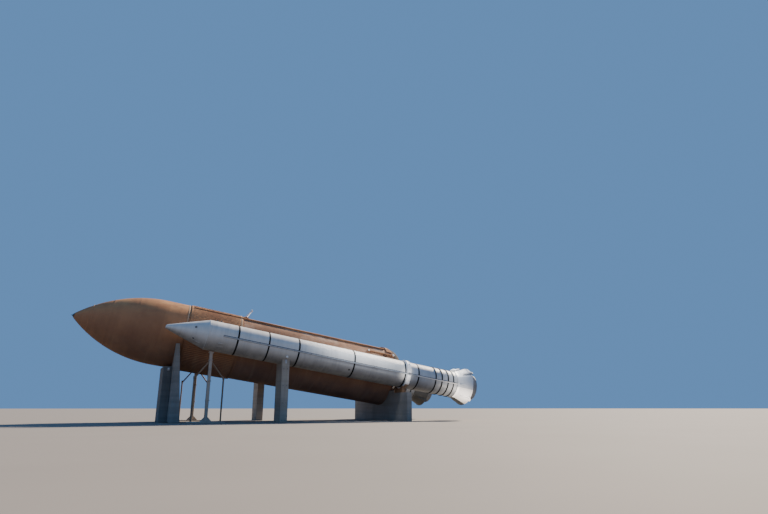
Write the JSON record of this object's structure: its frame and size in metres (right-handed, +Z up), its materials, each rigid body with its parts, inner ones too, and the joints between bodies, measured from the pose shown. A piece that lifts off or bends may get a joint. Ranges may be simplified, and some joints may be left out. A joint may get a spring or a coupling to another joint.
{
  "type": "half-size space rocket display stack",
  "caption": "Foam-covered propellant tank with strap-on solid boosters lying nose up on display piers; the booster nozzles steer.",
  "frame": {"origin": "on the floor under the middle of the whole object's box", "axes": "+Z up, the stack's nose towards -X and its nozzles towards +X, +Y to its right-hand side"},
  "size_m": [27.331, 9.12, 7.792],
  "materials": {
    "foam": "rough sprayed foam",
    "dark_foam": "dark sprayed foam",
    "nose_metal": "matt",
    "white_paint": "weathered satin",
    "white_fitting": "satin",
    "grey_paint": "satin",
    "curtain": "quilted cloth",
    "bearing_rubber": "matt",
    "nozzle_grey": "matt",
    "concrete": "cast concrete",
    "timber": "weathered timber",
    "steel_prop": "matt"
  },
  "bodies": {
    "root": {"tank_nose_cap": "nose_metal", "forward_tank": "foam", "intertank": "foam", "aft_tank": "foam", "feedline": "foam", "cable_tray": "dark_foam", "forward_bipod": "white_fitting", "aft_rail_left": "foam", "aft_rail_right": "foam", "aft_crossbeam": "foam", "nose_cap_left": "white_paint", "frustum_left": "white_paint", "forward_skirt_left": "white_paint", "motor_segment_1_left": "white_paint", "motor_segment_2_left": "white_paint", "motor_segment_3_left": "white_paint", "motor_segment_4_left": "white_paint", "systems_tunnel_left": "grey_paint", "attach_ring_left": "white_fitting", "aft_skirt_left": "white_paint", "heat_curtain_left": "curtain", "forward_thrust_fitting_left": "white_fitting", "upper_strut_left": "foam", "lower_strut_left": "foam", "nose_cap_right": "white_paint", "frustum_right": "white_paint", "forward_skirt_right": "white_paint", "motor_segment_1_right": "white_paint", "motor_segment_2_right": "white_paint", "motor_segment_3_right": "white_paint", "motor_segment_4_right": "white_paint", "systems_tunnel_right": "grey_paint", "attach_ring_right": "white_fitting", "aft_skirt_right": "white_paint", "heat_curtain_right": "curtain", "forward_thrust_fitting_right": "white_fitting", "upper_strut_right": "foam", "lower_strut_right": "foam", "front_pier": "concrete", "front_pedestal": "concrete", "aft_pier": "concrete", "cradle_left": "timber", "middle_pier_left": "concrete", "prop_left": "steel_prop", "cradle_right": "timber", "middle_pier_right": "concrete", "prop_right": "steel_prop"},
    "bearing_left": {"swivel_bearing_left": "bearing_rubber"},
    "nozzle_left": {"nozzle_left": "nozzle_grey"},
    "bearing_right": {"swivel_bearing_right": "bearing_rubber"},
    "nozzle_right": {"nozzle_right": "nozzle_grey"}
  },
  "joints": [
    {"name": "nozzle_left_pitch", "type": "hinge", "parent": "root", "child": "bearing_left", "pos_m": [12.4064, -3.18, 2.483], "axis": [0, 1, 0], "range_deg": [-5.5, 5.5]},
    {"name": "nozzle_left_yaw", "type": "hinge", "parent": "bearing_left", "child": "nozzle_left", "pos_m": [12.4064, -3.18, 2.483], "axis": [0.1491, 0, 0.9888], "range_deg": [-5.5, 5.5]},
    {"name": "nozzle_right_pitch", "type": "hinge", "parent": "root", "child": "bearing_right", "pos_m": [12.4064, 3.18, 2.483], "axis": [0, 1, 0], "range_deg": [-5.5, 5.5]},
    {"name": "nozzle_right_yaw", "type": "hinge", "parent": "bearing_right", "child": "nozzle_right", "pos_m": [12.4064, 3.18, 2.483], "axis": [0.1491, 0, 0.9888], "range_deg": [-5.5, 5.5]}
  ]
}
